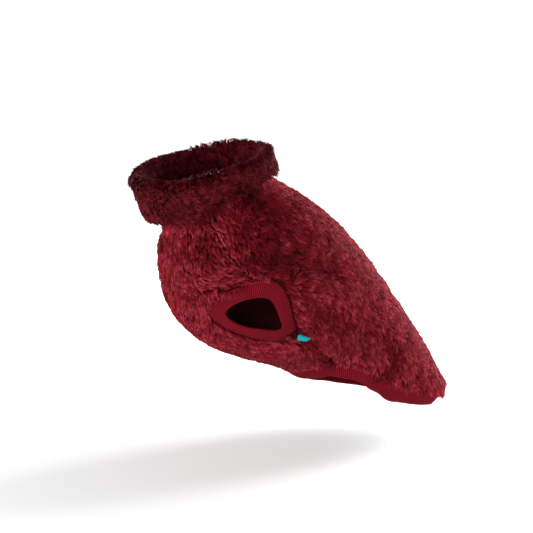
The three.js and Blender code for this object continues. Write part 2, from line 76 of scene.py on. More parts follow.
# Folds of the worn cloth: ring, angle, to_ring, to_angle, width and rise. The left side is above 0 degrees.
FOLDS = [
    [2.5, 65, 4.0, 118, 9, -4.2],
    [3.2, 72, 4.7, 112, 13, 2.8],
    [6.1, 57, 9.4, 38, 8, -3.6],
    [7.3, 110, 8.8, 87, 8, -3.8],
    [1.3, 34, 2.0, 2, 8, -3.0],
    [2.9, 22, 3.9, 8, 15, 2.2],
    [5.2, 92, 6.6, 112, 14, -2.4],
    [2.4, -70, 3.7, -125, 9, -3.8],
    [3.4, -80, 4.5, -118, 12, 2.6],
    [6.9, -54, 9.6, -45, 9, -3.2],
    [7.9, -120, 9.5, -98, 9, -3.2],
    [1.2, -42, 1.7, -14, 9, -2.6],
    [5.6, -88, 6.9, -104, 15, -1.5],
    [9.4, 140, 9.5, 220, 14, 2.6],
    [2.0, 52, 3.1, 66, 6, -1.2],
    [3.3, 30, 4.4, 24, 6, -1.0],
    [6.4, 66, 8.8, 52, 6, 1.2],
    [8.9, 74, 9.9, 70, 6, -1.2],
    [2.1, -54, 3.2, -64, 6, -1.2],
    [6.8, -70, 8.9, -60, 7, 1.0],
    [9.0, -80, 9.9, -76, 6, -1.1],
]
FOLD_MM_PER_RING = 27
FOLD_MM_PER_DEGREE = 1.3


def unit(vectors):
    """Vectors at length one."""
    return vectors / np.maximum(np.linalg.norm(vectors, axis=-1, keepdims=True), 1e-12)


def turn_between(angle, other):
    """The difference between two angles, as -180 to 180 degrees."""
    return (angle - other + 180) % 360 - 180


def section(key, ring):
    """A column of the section table at any ring number, as a smooth curve."""
    rows = SECTIONS[:, SECTION_COLUMNS.index(key)]
    rows = np.concatenate([[2 * rows[0] - rows[1]], rows, [2 * rows[-1] - rows[-2]]])
    i = np.clip(np.floor(ring), 0, HEM_RING - 1).astype(int)
    t = ring - i
    p, q, r, s = (rows[i + k] for k in range(4))
    return q + 0.5 * t * (r - p + t * (2 * p - 5 * q + 4 * r - s + t * (3 * (q - r) + s - p)))


def body_form(row, angle):
    """Points on the smooth body, before its folds."""
    row, angle = np.broadcast_arrays(np.asarray(row, float), np.asarray(angle, float))
    from_dip = (np.abs(turn_between(angle, 0)) - ROW_DIP["angle"]) / ROW_DIP["angle_spread"]
    from_ring = (row - ROW_DIP["ring"]) / ROW_DIP["ring_spread"]
    ring = row + ROW_DIP["by"] * np.exp(-(from_dip**2) - from_ring**2)
    chest = np.stack([section("chest_y", ring), section("chest_z", ring)], -1)
    back = np.stack([section("back_y", ring), section("back_z", ring)], -1)
    depth = np.linalg.norm(back - chest, axis=-1)
    along = unit(back - chest)
    widest = section("widest", ring) * depth
    a = np.radians(angle)
    reach = np.where(np.cos(a) > 0, widest, depth - widest)
    n = BACK_SQUARE + (section("square", ring) - BACK_SQUARE) * (1 + np.cos(a)) / 2
    half = section("half_width", ring)
    r = (np.abs(np.cos(a) / reach) ** n + np.abs(np.sin(a) / half) ** n) ** (-1 / n)
    at_quarter = np.where(np.cos(a) > 0, np.sin(2 * a) ** 2, 0)
    lift = section("quarter", ring) * at_quarter + section("side", ring) * np.sin(a) ** 2
    from_chest = widest - r * np.cos(a)
    y = chest[..., 0] + from_chest * along[..., 0]
    z = chest[..., 1] + from_chest * along[..., 1] + lift
    return np.stack([r * np.sin(a), y, z], -1) * MM


def normal_of(surface, ring, angle):
    """Outward normals of a surface given by ring and angle."""
    across = surface(ring, angle + 0.5) - surface(ring, angle - 0.5)
    down = surface(ring + 0.02, angle) - surface(ring - 0.02, angle)
    return unit(np.cross(down, across))


def seam_angle(ring):
    """The seam between the panels on the left side, above, across and below the armhole."""
    top, low = ARMHOLE["top_ring"], ARMHOLE["low_ring"]
    above = np.clip(ring / top, 0, 1) ** SHOULDER_SEAM["bend"]
    shoulder = SHOULDER_SEAM["angle"] + (ARMHOLE["top_angle"] - SHOULDER_SEAM["angle"]) * above
    across = np.interp(ring, [top, low], [ARMHOLE["top_angle"], ARMHOLE["low_angle"]])
    under = np.clip((ring - low) / (HEM_RING - low), 0, 1) ** SIDE_SEAM["bend"]
    side = ARMHOLE["low_angle"] + (SIDE_SEAM["hem_angle"] - ARMHOLE["low_angle"]) * under
    return np.where(ring < top, shoulder, np.where(ring < low, across, side))


def fold_rise(ring, angle):
    """How far the folds and the seams move the cloth outwards, in metres."""
    rise = 0
    for from_ring, from_angle, to_ring, to_angle, width, height in FOLDS:
        middle = (from_angle + to_angle) / 2
        x = (ring - from_ring) * FOLD_MM_PER_RING
        y = (turn_between(angle, middle) - (from_angle - middle)) * FOLD_MM_PER_DEGREE
        run_x = (to_ring - from_ring) * FOLD_MM_PER_RING
        run_y = (to_angle - from_angle) * FOLD_MM_PER_DEGREE
        share = np.clip((x * run_x + y * run_y) / (run_x**2 + run_y**2), 0, 1)
        off = np.hypot(x - share * run_x, y - share * run_y)
        rise = rise + height * np.exp(-((off / width) ** 2))
    from_seam = (np.abs(turn_between(angle, 0)) - seam_angle(ring)) * FOLD_MM_PER_DEGREE
    return (rise - SEAM_DIP["depth"] * np.exp(-((from_seam / SEAM_DIP["spread"]) ** 2))) * MM


def body_surface(ring, angle):
    """The reach of the pile on the worn body."""
    return body_form(ring, angle) + normal_of(body_form, ring, angle) * fold_rise(ring, angle)[..., None]


def below(ring, angle, depth):
    """Points that lie a depth in millimetres below the pile's tips."""
    depth = np.asarray(depth)[..., None]
    return body_surface(ring, angle) - normal_of(body_surface, ring, angle) * depth * MM


def down_body(ring, angle):
    """The direction down the body, square to a panel's edge that follows a ring."""
    across = body_surface(ring, angle + 0.5) - body_surface(ring, angle - 0.5)
    return unit(np.cross(across, normal_of(body_surface, ring, angle)))


def armhole_edge(turn):
    """Ring and angle of the armhole's edge at a turn round it, from its top over the back panel."""
    top, low = ARMHOLE["top_ring"], ARMHOLE["low_ring"]
    ring = (top + low) / 2 - (low - top) / 2 * np.cos(turn)
    across = np.sin(turn)
    to_back = ARMHOLE_SPREAD["back"] * across * (1 + ARMHOLE_SPREAD["back_skew"] * np.cos(turn))
    to_chest = ARMHOLE_SPREAD["chest"] * np.abs(across) ** ARMHOLE_SPREAD["fullness"]
    return ring, seam_angle(ring) + np.where(across > 0, to_back, -to_chest)


def panel_edge(ring, side):
    """The edge of the back panel (side 1) or the chest panel (side -1) on the left, in degrees."""
    ring = np.asarray(ring, float)
    top, low = ARMHOLE["top_ring"], ARMHOLE["low_ring"]
    height = ((top + low) / 2 - ring) / ((low - top) / 2)
    at_hole = np.abs(height) < 1
    hole = armhole_edge(side * np.arccos(np.clip(height, -1, 1)))[1]
    seam = seam_angle(ring)
    step = np.linalg.norm(body_form(ring, seam + 0.5) - body_form(ring, seam - 0.5), axis=-1)
    return np.where(at_hole, hole, seam) + side * SEAM_GAP * MM / (2 * step)


def panel_place(panel, ring, share):
    """The angle at a share of the way across a panel, from one edge to the other."""
    if panel == "back":
        edge = panel_edge(ring, 1)
        return edge + (360 - 2 * edge) * share
    edge = panel_edge(ring, -1)
    return -edge + 2 * edge * share


def add_piece(name, points, faces, material):
    """A smooth piece on the body, from its points and arrays of faces with three or four corners."""
    mesh = bpy.data.meshes.new(name)
    corners = np.concatenate([f.ravel() for f in faces]).astype(np.int32)
    sizes = np.concatenate([np.full(len(f), f.shape[1]) for f in faces])
    mesh.vertices.add(len(points))
    mesh.vertices.foreach_set("co", np.ascontiguousarray(points, np.float32).ravel())
    mesh.loops.add(len(corners))
    mesh.loops.foreach_set("vertex_index", corners)
    mesh.polygons.add(len(sizes))
    mesh.polygons.foreach_set("loop_start", (np.cumsum(sizes) - sizes).astype(np.int32))
    mesh.polygons.foreach_set("use_smooth", np.ones(len(sizes), bool))
    mesh.update(calc_edges=True)
    mesh.materials.append(material)
    piece = bpy.data.objects.new(name, mesh)
    bpy.context.scene.collection.objects.link(piece)
    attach(piece, "root")
    return piece


def add_corner_map(piece, name, values):
    """A map of two numbers for each corner of the piece's faces."""
    layer = piece.data.uv_layers.new(name=name)
    layer.data.foreach_set("uv", np.ascontiguousarray(values, np.float32).ravel())


def cloth_shell(name, outer, inner, material):
    """A thin cloth between two grids of points, closed round its edges, with a map in millimetres."""
    rows, columns = outer.shape[:2]
    index = np.arange(rows * columns).reshape(rows, columns)
    under = index + rows * columns
    front = np.stack([index[:-1, :-1], index[:-1, 1:], index[1:, 1:], index[1:, :-1]], -1).reshape(-1, 4)
    around = np.concatenate([index[0, :-1], index[:-1, -1], index[-1, :0:-1], index[:0:-1, 0]])
    ahead = np.roll(around, -1)
    lift = rows * columns
    edge = np.stack([ahead, around, around + lift, ahead + lift], -1)
    back = np.stack([under[1:, :-1], under[1:, 1:], under[:-1, 1:], under[:-1, :-1]], -1).reshape(-1, 4)
    points = np.concatenate([outer.reshape(-1, 3), inner.reshape(-1, 3)])
    piece = add_piece(name, points, [front, edge, back], material)
    across = np.linalg.norm(np.diff(outer, axis=1), axis=-1).mean(0).cumsum()
    along = np.linalg.norm(np.diff(outer, axis=0), axis=-1).mean(1).cumsum()
    u, v = np.meshgrid(np.append(0, across), np.append(0, along))
    flat = np.stack([u, v], -1).reshape(-1, 2) / MM
    flat = np.concatenate([flat, flat])
    add_corner_map(piece, "cloth_mm", flat[np.concatenate([front, edge, back]).ravel()])
    return piece


def add_node(tree, kind, inputs=None, **settings):
    """A shader node whose inputs are set to values or linked from other nodes' outputs."""
    node = tree.nodes.new(kind)
    for key, value in settings.items():
        setattr(node, key, value)
    for key, value in (inputs or {}).items():
        if isinstance(value, bpy.types.NodeSocket):
            tree.links.new(value, node.inputs[key])
        else:
            node.inputs[key].default_value = value
    return node


def new_material(name):
    """A material with its node tree and its Principled shader."""
    material = bpy.data.materials.new(name)
    material.use_nodes = True
    return material, material.node_tree, material.node_tree.nodes["Principled BSDF"]


def maths(tree, operation, *values):
    """The result of a maths node on numbers or other nodes' outputs."""
    return add_node(tree, "ShaderNodeMath", dict(enumerate(values)), operation=operation).outputs[0]


def ranged(tree, value, start, stop, low, high, blend="LINEAR"):
    """A value that runs from low to high while another runs from start to stop."""
    limits = {"Value": value, "From Min": start, "From Max": stop, "To Min": low, "To Max": high}
    return add_node(tree, "ShaderNodeMapRange", limits, interpolation_type=blend).outputs[0]


def tinted(tree, colour, shade):
    """A colour made darker or lighter by a shade."""
    return add_node(tree, "ShaderNodeVectorMath", {0: colour, "Scale": shade}, operation="SCALE").outputs[0]


def noise_over(tree, place, scale, detail):
    """Noise over the place in the garment."""
    return add_node(tree, "ShaderNodeTexNoise",
                    {"Vector": place.outputs["Object"], "Scale": scale, "Detail": detail})


def bump_by(tree, shader, height, strength, distance):
    """Bumps on the shader's surface that follow a height."""
    bump = add_node(tree, "ShaderNodeBump", {"Strength": strength, "Distance": distance, "Height": height})
    tree.links.new(bump.outputs[0], shader.inputs["Normal"])


def knit_stitches():
    """Height of small knit stitches and their shade, darker between them as painted shade, from a map in
    stitch widths and stitch heights.
    """
    tree = bpy.data.node_groups.new("knit stitches", "ShaderNodeTree")
    tree.interface.new_socket("Place", in_out="INPUT", socket_type="NodeSocketVector")
    tree.interface.new_socket("Height", in_out="OUTPUT", socket_type="NodeSocketFloat")
    tree.interface.new_socket("Shade", in_out="OUTPUT", socket_type="NodeSocketFloat")
    start = tree.nodes.new("NodeGroupInput")
    place = add_node(tree, "ShaderNodeSeparateXYZ", {0: start.outputs["Place"]})
    column = maths(tree, "PINGPONG", place.outputs["X"], 1.0)
    lean = maths(tree, "MULTIPLY_ADD", column, 0.7, place.outputs["Y"])
    row = maths(tree, "PINGPONG", lean, 0.5)
    leg = maths(tree, "SINE", maths(tree, "MULTIPLY", column, math.pi))
    height = maths(tree, "MULTIPLY", maths(tree, "MULTIPLY", row, 2.0), leg)
    end = tree.nodes.new("NodeGroupOutput")
    tree.links.new(height, end.inputs["Height"])
    tree.links.new(ranged(tree, height, 0, 1, 0.72, 1.08), end.inputs["Shade"])
    return tree


KNIT_STITCHES = knit_stitches()


def base_knit_cloth():
    """Burgundy knitted base: matt, brushed on its inner face, with painted shade between the stitches."""
    material, tree, shader = new_material("fleece base knit")
    shader.inputs["Roughness"].default_value = 0.95
    shader.inputs["Specular IOR Level"].default_value = 0.2
    shader.inputs["Sheen Weight"].default_value = 0.1
    shader.inputs["Sheen Roughness"].default_value = 0.5
    shader.inputs["Sheen Tint"].default_value = (1.0, 0.5, 0.58, 1)
    cloth = add_node(tree, "ShaderNodeUVMap", uv_map="cloth_mm")
    stitches = add_node(tree, "ShaderNodeVectorMath", {0: cloth.outputs[0], 1: (0.8, 0.9, 1)},
                        operation="MULTIPLY")
    knit = add_node(tree, "ShaderNodeGroup", {"Place": stitches.outputs[0]}, node_tree=KNIT_STITCHES)
    place = add_node(tree, "ShaderNodeTexCoord")
    cloud = noise_over(tree, place, 90, 4)
    fuzz = noise_over(tree, place, 1400, 3)
    colour = add_node(tree, "ShaderNodeMix", data_type="RGBA")
    colour.inputs["A"].default_value = (0.050, 0.0012, 0.0030, 1)
    colour.inputs["B"].default_value = (0.100, 0.0030, 0.0070, 1)
    tree.links.new(cloud.outputs["Fac"], colour.inputs["Factor"])
    tint = tinted(tree, colour.outputs["Result"], knit.outputs["Shade"])
    tree.links.new(tint, shader.inputs["Base Color"])
    raised = maths(tree, "MULTIPLY_ADD", fuzz.outputs["Fac"], 0.7, knit.outputs["Height"])
    bump_by(tree, shader, raised, 0.6, 0.0004)
    return material


BASE_KNIT = base_knit_cloth()


def panel_base(panel, rows, columns):
    """The knitted base of one panel."""
    ring, share = np.meshgrid(np.linspace(0, HEM_RING, rows), np.linspace(0, 1, columns), indexing="ij")
    angle = panel_place(panel, ring, share)
    outer = below(ring, angle, FLEECE_WALL - BASE_CLOTH)
    inner = below(ring, angle, FLEECE_WALL)
    return cloth_shell(panel + "_base", outer, inner, BASE_KNIT)


back_base = panel_base("back", 76, 66)
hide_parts("back_panel")
chest_base = panel_base("chest", 76, 34)
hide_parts("chest_panel")

# Teddy pile of the two body panels: soft polyester locks that stand on the base and lie over in tufts.
# They swirl, part at the creases, lie flat beside the shoulder seam and hang over the rib at the hem.

PILE_HEIGHT = 4.7
PILE_REACH = 7.4
FULL_LOCK = {"width": 1.5, "places": [0.0, 0.36, 0.72], "girth": [0.85, 1.0, 0.66], "per_mm2": 0.19}
FINE_LOCK = {"width": 0.85, "places": [0.0, 0.5], "girth": [0.95, 1.0], "per_mm2": 0.84}
LOCKS_IN_TUFT = 9
SEAM_STRIP = {"reach": 4.4, "flat": 0.7, "groove": 0.9}

# Where the pile is brushed aside from straight down the body: ring, angle, spread in mm, turn in degrees.
# A turn above 0 is towards the back, on both sides of the garment.
BRUSHED = [
    [3.4, 40, 27, 88],
    [3.5, 88, 22, 38],
    [4.9, 8, 26, -38],
    [6.9, 94, 34, -58],
    [7.4, 28, 30, -38],
    [8.8, 66, 26, -46],
    [2.0, 62, 18, -20],
    [8.9, 112, 24, -16],
]


# Painted shade: where the pile's colour is darker, round the shoulders and in the shadow under the collar at
# the neck: ring, angle, spread in mm, how much
PAINTED_SHADE = [
    [2.1, 88, 58, 0.5],
    [0.0, 105, 24, 0.9],
    [3.0, 70, 22, 0.2],
]


def cell_areas(surface, first, last, rows, columns):
    """The areas of the cells of a grid over a surface of two numbers, the second from 0 to 1."""
    u, v = np.meshgrid(np.linspace(first, last, rows + 1), np.linspace(0, 1, columns + 1), indexing="ij")
    grid = surface(u, v)
    down = grid[1:, :-1] - grid[:-1, :-1]
    across = grid[:-1, 1:] - grid[:-1, :-1]
    return np.linalg.norm(np.cross(down, across), axis=-1)


def spread_evenly(count, surface, first, last, seed):
    """Places on a surface of two numbers, from first to last and from 0 to 1, spread evenly over its area."""
    rows, columns = 120, 160
    area = cell_areas(surface, first, last, rows, columns)
    k = np.arange(count)
    random = np.random.default_rng(seed)
    jitter = random.uniform(-0.4, 0.4, (2, count)) / math.sqrt(count)
    at_row = (0.5 + k * 0.7548776662) % 1
    at_column = np.clip((0.5 + k * 0.5698402910) % 1 + jitter[0], 0, 0.9999)
    by_row = np.append(0, area.sum(1).cumsum()) / area.sum()
    row = np.interp(np.clip(at_row + jitter[1], 0, 0.9999), by_row, np.arange(rows + 1))
    i = np.minimum(row.astype(int), rows - 1)
    across_row = np.concatenate([np.zeros((rows, 1)), area.cumsum(1)], 1)
    across_row /= across_row[:, -1:]
    line = (across_row + np.arange(rows)[:, None]).ravel()
    found = np.interp(i + at_column, line, np.tile(np.arange(columns + 1), rows))
    return first + (last - first) * row / rows, found / columns


def soft_noise(points, size, seed):
    """Smooth uneven values, three for each point, in lumps of about that many millimetres."""
    random = np.random.default_rng(seed)
    total = 0
    for _ in range(7):
        wave = random.normal(0, 1.9 / (size * MM), (3, 3))
        total = total + np.sin(points @ wave + random.uniform(0, 2 * math.pi, 3))
    return total / 4.4


def locks(kind, roots, normals, leans, heights, reaches, curls):
    """Tapered locks, each a ridge of two sides that is open below. Gives their points, the corners of one
    lock's faces, and each point's share of its length."""
    sides = np.cross(normals, leans)
    turns = np.radians([210, 90, 330])
    stations = []
    shares = []

    def path(t):
        rise = 1 - (1 - t) ** 2.1 - 0.12 * t**3
        go = t**1.15
        sway = np.sin(math.pi * 1.5 * t) * curls
        aside = leans * (reaches * go)[:, None] + sides * sway[:, None]
        return roots + normals * (heights * rise)[:, None] + aside

    for t, girth in zip(kind["places"], kind["girth"]):
        ahead = unit(path(min(t + 0.05, 1.0)) - path(max(t - 0.05, 0.0)))
        flat = unit(np.cross(ahead, normals))
        top = np.cross(flat, ahead)
        radius = kind["width"] * MM / 2 * girth
        for turn in turns:
            stations.append(path(t) + radius * (math.cos(turn) * flat + math.sin(turn) * top))
            shares.append(t)
    stations.append(path(1.0))
    shares.append(1.0)
    rings = len(kind["places"])
    quads = [[3 * k + j, 3 * k + j + 1, 3 * k + 4 + j, 3 * k + 3 + j]
             for k in range(rings - 1) for j in range(2)]
    tips = [[3 * rings - 3 + j, 3 * rings - 2 + j, 3 * rings] for j in range(2)]
    return np.stack(stations, 1), np.array(quads), np.array(tips), np.array(shares)


def lock_map(kind, count, cells, first):
    """A map with a cell for each lock, in which its two sides lie flat: for its quads and for its tips."""
    places = kind["places"]
    quads = [[(j / 2, low), ((j + 1) / 2, low), ((j + 1) / 2, high), (j / 2, high)]
             for low, high in zip(places, places[1:]) for j in range(2)]
    tips = [[(j / 2, places[-1]), ((j + 1) / 2, places[-1]), (0.5, 1.0)] for j in range(2)]
    cell = first + np.arange(count)
    corner = np.stack([cell % cells, cell // cells], -1)[:, None, None, :]
    fitted = [(corner + 0.08 + 0.84 * np.array(part)[None]) / cells for part in (quads, tips)]
    return [part.reshape(-1, 2) for part in fitted]


def pile_piece(name, surface, first, last, lie, material, seed, density=1.0, curl=1.0):
    """A stretch of pile on a surface: full and fine locks in tufts, each lying as lie says."""
    random = np.random.default_rng(seed)
    area = cell_areas(surface, first, last, 99, 139).sum() / MM**2
    points, quads, tips, shares, shades, maps = [], [], [], [], [], []
    counts = [int(area * kind["per_mm2"] * density) for kind in (FULL_LOCK, FINE_LOCK)]
    cells = math.ceil(math.sqrt(sum(counts)))
    tuft_count = int(sum(counts) / LOCKS_IN_TUFT)
    tuft_roots = surface(*spread_evenly(tuft_count, surface, first, last, seed + 1))
    tuft_turn = random.normal(0, 8 * curl, tuft_count)
    tuft_height = random.uniform(0.84, 1.12, tuft_count)
    tuft_reach = random.uniform(0.85, 1.15, tuft_count)
    tuft_shade = random.normal(0, 0.2, tuft_count)
    tuft_sway = random.normal(0, 0.55 * curl, tuft_count)
    tree = KDTree(tuft_count)
    for k, point in enumerate(tuft_roots):
        tree.insert(point, k)
    tree.balance()
    start = 0
    for kind, count in zip((FULL_LOCK, FINE_LOCK), counts):
        u, v = spread_evenly(count, surface, first, last, seed + 2 + len(kind["places"]))
        roots = surface(u, v)
        tuft = np.array([tree.find(point)[1] for point in roots])
        step_u, step_v = 0.002 * (last - first), 0.002
        down = unit(surface(u + step_u, v) - roots)
        normals = unit(np.cross(down, surface(u, v + step_v) - roots))
        across = np.cross(normals, down)
        turn, height, reach, shade = lie(u, v, roots)
        turn = np.radians(turn + tuft_turn[tuft] + random.normal(0, 6 * curl, count))
        leans = unit(np.cos(turn)[:, None] * down + np.sin(turn)[:, None] * across)
        to_tuft = tuft_roots[tuft] - roots
        to_tuft -= normals * (to_tuft * normals).sum(-1, keepdims=True)
        reaches = reach * tuft_reach[tuft] * random.uniform(0.8, 1.2, count) * MM
        pulled = leans * reaches[:, None] + to_tuft * random.uniform(0.4, 0.85, (count, 1))
        reaches = np.linalg.norm(pulled, axis=-1)
        heights = height * tuft_height[tuft] * random.uniform(0.8, 1.1, count) * MM
        sways = (tuft_sway[tuft] + random.normal(0, 0.22 * curl, count)) * MM
        lock_points, lock_quads, lock_tips, lock_shares = locks(
            kind, roots, normals, unit(pulled), heights, reaches, sways)
        size = lock_points.shape[1]
        offset = start + size * np.arange(count)[:, None, None]
        quads.append((lock_quads[None] + offset).reshape(-1, 4))
        tips.append((lock_tips[None] + offset).reshape(-1, 3))
        points.append(lock_points.reshape(-1, 3))
        shares.append(np.tile(lock_shares, count))
        shades.append(np.repeat(shade + tuft_shade[tuft] + random.normal(0, 0.22, count), size))
        maps.append(lock_map(kind, count, cells, 0 if not maps else counts[0]))
        start += size * count
    piece = add_piece(name, np.concatenate(points), [*quads, *tips], material)
    add_corner_map(piece, "OFBake", np.concatenate([m[0] for m in maps] + [m[1] for m in maps]))
    # Each point carries its share along the lock, and its lock's shade: uneven tone together with painted
    # shade and painted light.
    for attribute, values in (("along_lock", shares), ("lock_tone_light_and_shade", shades)):
        layer = piece.data.attributes.new(attribute, "FLOAT", "POINT")
        layer.data.foreach_set("value", np.concatenate(values).astype(np.float32))
    return piece


def pile_fibre(name, root_colour, tip_colour, light_colour):
    """Teddy pile: dark at the roots as painted shade deep in the pile, lighter at the tips, uneven from lock
    to lock, with painted shade and light from the locks' shade, and a soft sheen.
    """
    material, tree, shader = new_material(name)
    shader.inputs["Roughness"].default_value = 0.6
    shader.inputs["Specular IOR Level"].default_value = 0.05
    shader.inputs["Sheen Weight"].default_value = 0.06
    shader.inputs["Sheen Roughness"].default_value = 0.35
    shader.inputs["Sheen Tint"].default_value = (1.0, 0.3, 0.36, 1)
    along = add_node(tree, "ShaderNodeAttribute", attribute_name="along_lock")
    shade = add_node(tree, "ShaderNodeAttribute", attribute_name="lock_tone_light_and_shade")
    place = add_node(tree, "ShaderNodeTexCoord")
    patches = noise_over(tree, place, 55, 3)
    fibre = noise_over(tree, place, 1900, 2)
    # Painted shade deep in the pile: the colour runs from the dark root colour to the tip colour along each
    # lock.
    depth = ranged(tree, along.outputs["Fac"], 0.12, 0.85, 0, 1, "SMOOTHSTEP")
    colour = add_node(tree, "ShaderNodeMix", data_type="RGBA")
    colour.inputs["A"].default_value = root_colour
    colour.inputs["B"].default_value = tip_colour
    tree.links.new(depth, colour.inputs["Factor"])
    # Locks with a higher shade, from uneven tone and painted light, mix towards the light colour.
    lighter = ranged(tree, shade.outputs["Fac"], -0.1, 0.6, 0, 0.75)
    mixed = add_node(tree, "ShaderNodeMix", data_type="RGBA")
    mixed.inputs["B"].default_value = light_colour
    tree.links.new(maths(tree, "MULTIPLY", lighter, depth), mixed.inputs["Factor"])
    tree.links.new(colour.outputs["Result"], mixed.inputs["A"])
    patch = ranged(tree, patches.outputs["Fac"], 0.3, 0.7, 0.82, 1.15)
    strand = ranged(tree, fibre.outputs["Fac"], 0.3, 0.7, 0.86, 1.12)
    # The locks' shade darkens or lightens their colour: uneven tone, painted shade and painted light.
    lock = ranged(tree, shade.outputs["Fac"], -1, 0.8, 0.15, 1.35)
    both = maths(tree, "MULTIPLY", maths(tree, "MULTIPLY", patch, strand), lock)
    tree.links.new(tinted(tree, mixed.outputs["Result"], both), shader.inputs["Base Color"])
    bump_by(tree, shader, fibre.outputs["Fac"], 0.35, 0.0002)
    return material


BODY_PILE = pile_fibre("burgundy teddy pile", (0.075, 0.0012, 0.003, 1), (0.290, 0.009, 0.021, 1),
                       (0.440, 0.052, 0.072, 1))


def pile_place(panel):
    """The face that a panel's pile stands on, by ring and share of the way across."""
    return lambda ring, share: below(ring, panel_place(panel, ring, share), PILE_HEIGHT)


def lumps(rows, ring, angle):
    """The sum of soft round lumps, alike on both sides, from a table of ring, angle, spread and amount."""
    total = 0
    for at_ring, at_angle, spread, amount in rows:
        x = (ring - at_ring) * FOLD_MM_PER_RING
        y = (np.abs(angle) - at_angle) * FOLD_MM_PER_DEGREE
        total = total + amount * np.exp(-(x**2 + y**2) / spread**2)
    return total


def body_lie(panel):
    """How the locks of a panel lie: their turn from straight down, height, reach and shade, the shade with
    painted shade and painted light in it.
    """
    def lie(ring, share, roots):
        angle = turn_between(panel_place(panel, ring, share), 0)
        swirl = soft_noise(roots, 26, 1)
        ruffle = soft_noise(roots, 8, 2)
        turn = lumps(BRUSHED, ring, angle) * np.sign(angle) + 30 * swirl[:, 0] + 20 * ruffle[:, 0]
        height = PILE_HEIGHT * (0.98 + 0.13 * ruffle[:, 1] + 0.08 * swirl[:, 1])
        reach = PILE_REACH * (1 + 0.15 * swirl[:, 2])
        shade = 0.15 + 0.2 * ruffle[:, 2] + 0.12 * swirl[:, 1]
        # Painted shade: darker round the shoulders, under the collar, and in the creases of the folds and
        # along the seams.
        shade = shade - lumps(PAINTED_SHADE, ring, angle) - 0.09 * np.clip(-fold_rise(ring, angle) / MM, 0, 5)
        from_seam = np.abs(np.abs(angle) - seam_angle(ring)) * FOLD_MM_PER_DEGREE
        on_shoulder = np.clip((ARMHOLE["top_ring"] - ring) / 0.25, 0, 1)
        strip = np.clip((SEAM_STRIP["reach"] - from_seam) / 1.2, 0, 1) * on_shoulder
        groove = np.clip((SEAM_STRIP["groove"] * (2 - on_shoulder) - from_seam) / 0.5, 0, 1)
        to_hem = np.clip((ring - HEM_RING + 0.35) / 0.35, 0, 1)
        turn *= (1 - 0.6 * to_hem) * (1 - 0.9 * strip)
        height *= (1 - SEAM_STRIP["flat"] * strip) * (1 - 0.75 * groove) * (1 - 0.15 * to_hem)
        reach *= (1 - 0.35 * strip) * (1 + 0.25 * to_hem)
        # Painted light and shade: lighter on the flattened strips beside the shoulder seam as a painted
        # sheen, and darker in the seams' grooves as painted shade.
        shade += 0.6 * strip - 1.6 * groove
        return turn, height, reach, shade
    return lie


BACK_PILE_STRETCHES = {"shoulders": (0.0, 3.2), "upper": (3.2, 5.6), "lower": (5.6, 7.8), "hem": (7.8, 10.0)}
back_pile = [
    pile_piece("back_pile_" + name, pile_place("back"), first, last, body_lie("back"), BODY_PILE,
               100 + 10 * k)
    for k, (name, (first, last)) in enumerate(BACK_PILE_STRETCHES.items())
]
chest_pile = pile_piece("chest_pile", pile_place("chest"), 0.0, HEM_RING, body_lie("chest"), BODY_PILE,
                        200)

# Roll-neck collar: a straight strip of the same fleece, sewn to the neck, standing up and turned down
# outside. Its pile is on the face that shows, inside the neck, over the fold and on the fall, and its
# colours are darker than the body's, as painted shade over the same fleece colour.

COLLAR_WALL = 6
COLLAR_FOLD = {"front_y": -130, "front_z": 17, "back_y": -9, "back_z": 42, "half_width": 50, "sides": 0}
COLLAR_EDGE = {"front_y": -112, "front_z": -17, "back_y": -4, "back_z": 24, "half_width": 55, "sides": 7}
COLLAR_TURN = COLLAR_WALL / 2 + 0.9
COLLAR_TUCK = 0.35
STAND_SHARE = 0.42
FALL_SHARE = 0.57

# Waves of the fall: angle, spread, push, drop and top
COLLAR_WAVES = [
    [-34, 20, 0, 7, 0],
    [-38, 7, -2.6, 0, -1.2],
    [8, 17, 2.0, 1, 0.5],
    [40, 16, -1.0, 3.5, -1.5],
    [74, 13, 2.4, -1, 0.8],
    [104, 12, -1.0, 1, -0.6],
    [140, 16, 2.0, -1.5, 0.8],
    [176, 12, -1.0, 0.5, -0.8],
    [214, 17, 1.8, -1, 0.6],
    [252, 11, -1.2, 1.5, -0.5],
    [287, 15, 2.2, 0, 0.8],
]


def collar_ring(ring, angle):
    """Points on the collar's fold or lower edge, along the middle of its wall."""
    a = np.radians(angle)
    to_back = (1 - np.cos(a)) / 2
    y = ring["front_y"] + (ring["back_y"] - ring["front_y"]) * to_back
    z = ring["front_z"] + (ring["back_z"] - ring["front_z"]) * to_back + ring["sides"] * np.sin(a) ** 2
    return np.stack([ring["half_width"] * np.sin(a), y, z], -1) * MM


def collar_wave(column, angle):
    """The sum of the collar's waves in one column of their table."""
    total = 0
    for row in COLLAR_WAVES:
        total = total + row[column] * np.exp(-((turn_between(angle, row[0]) / row[1]) ** 2))
    return total * MM


def bezier(a, b, c, d, t):
    """Points on cubic curves."""
    t = t[..., None]
    return a * (1 - t) ** 3 + 3 * b * t * (1 - t) ** 2 + 3 * c * t**2 * (1 - t) + d * t**3


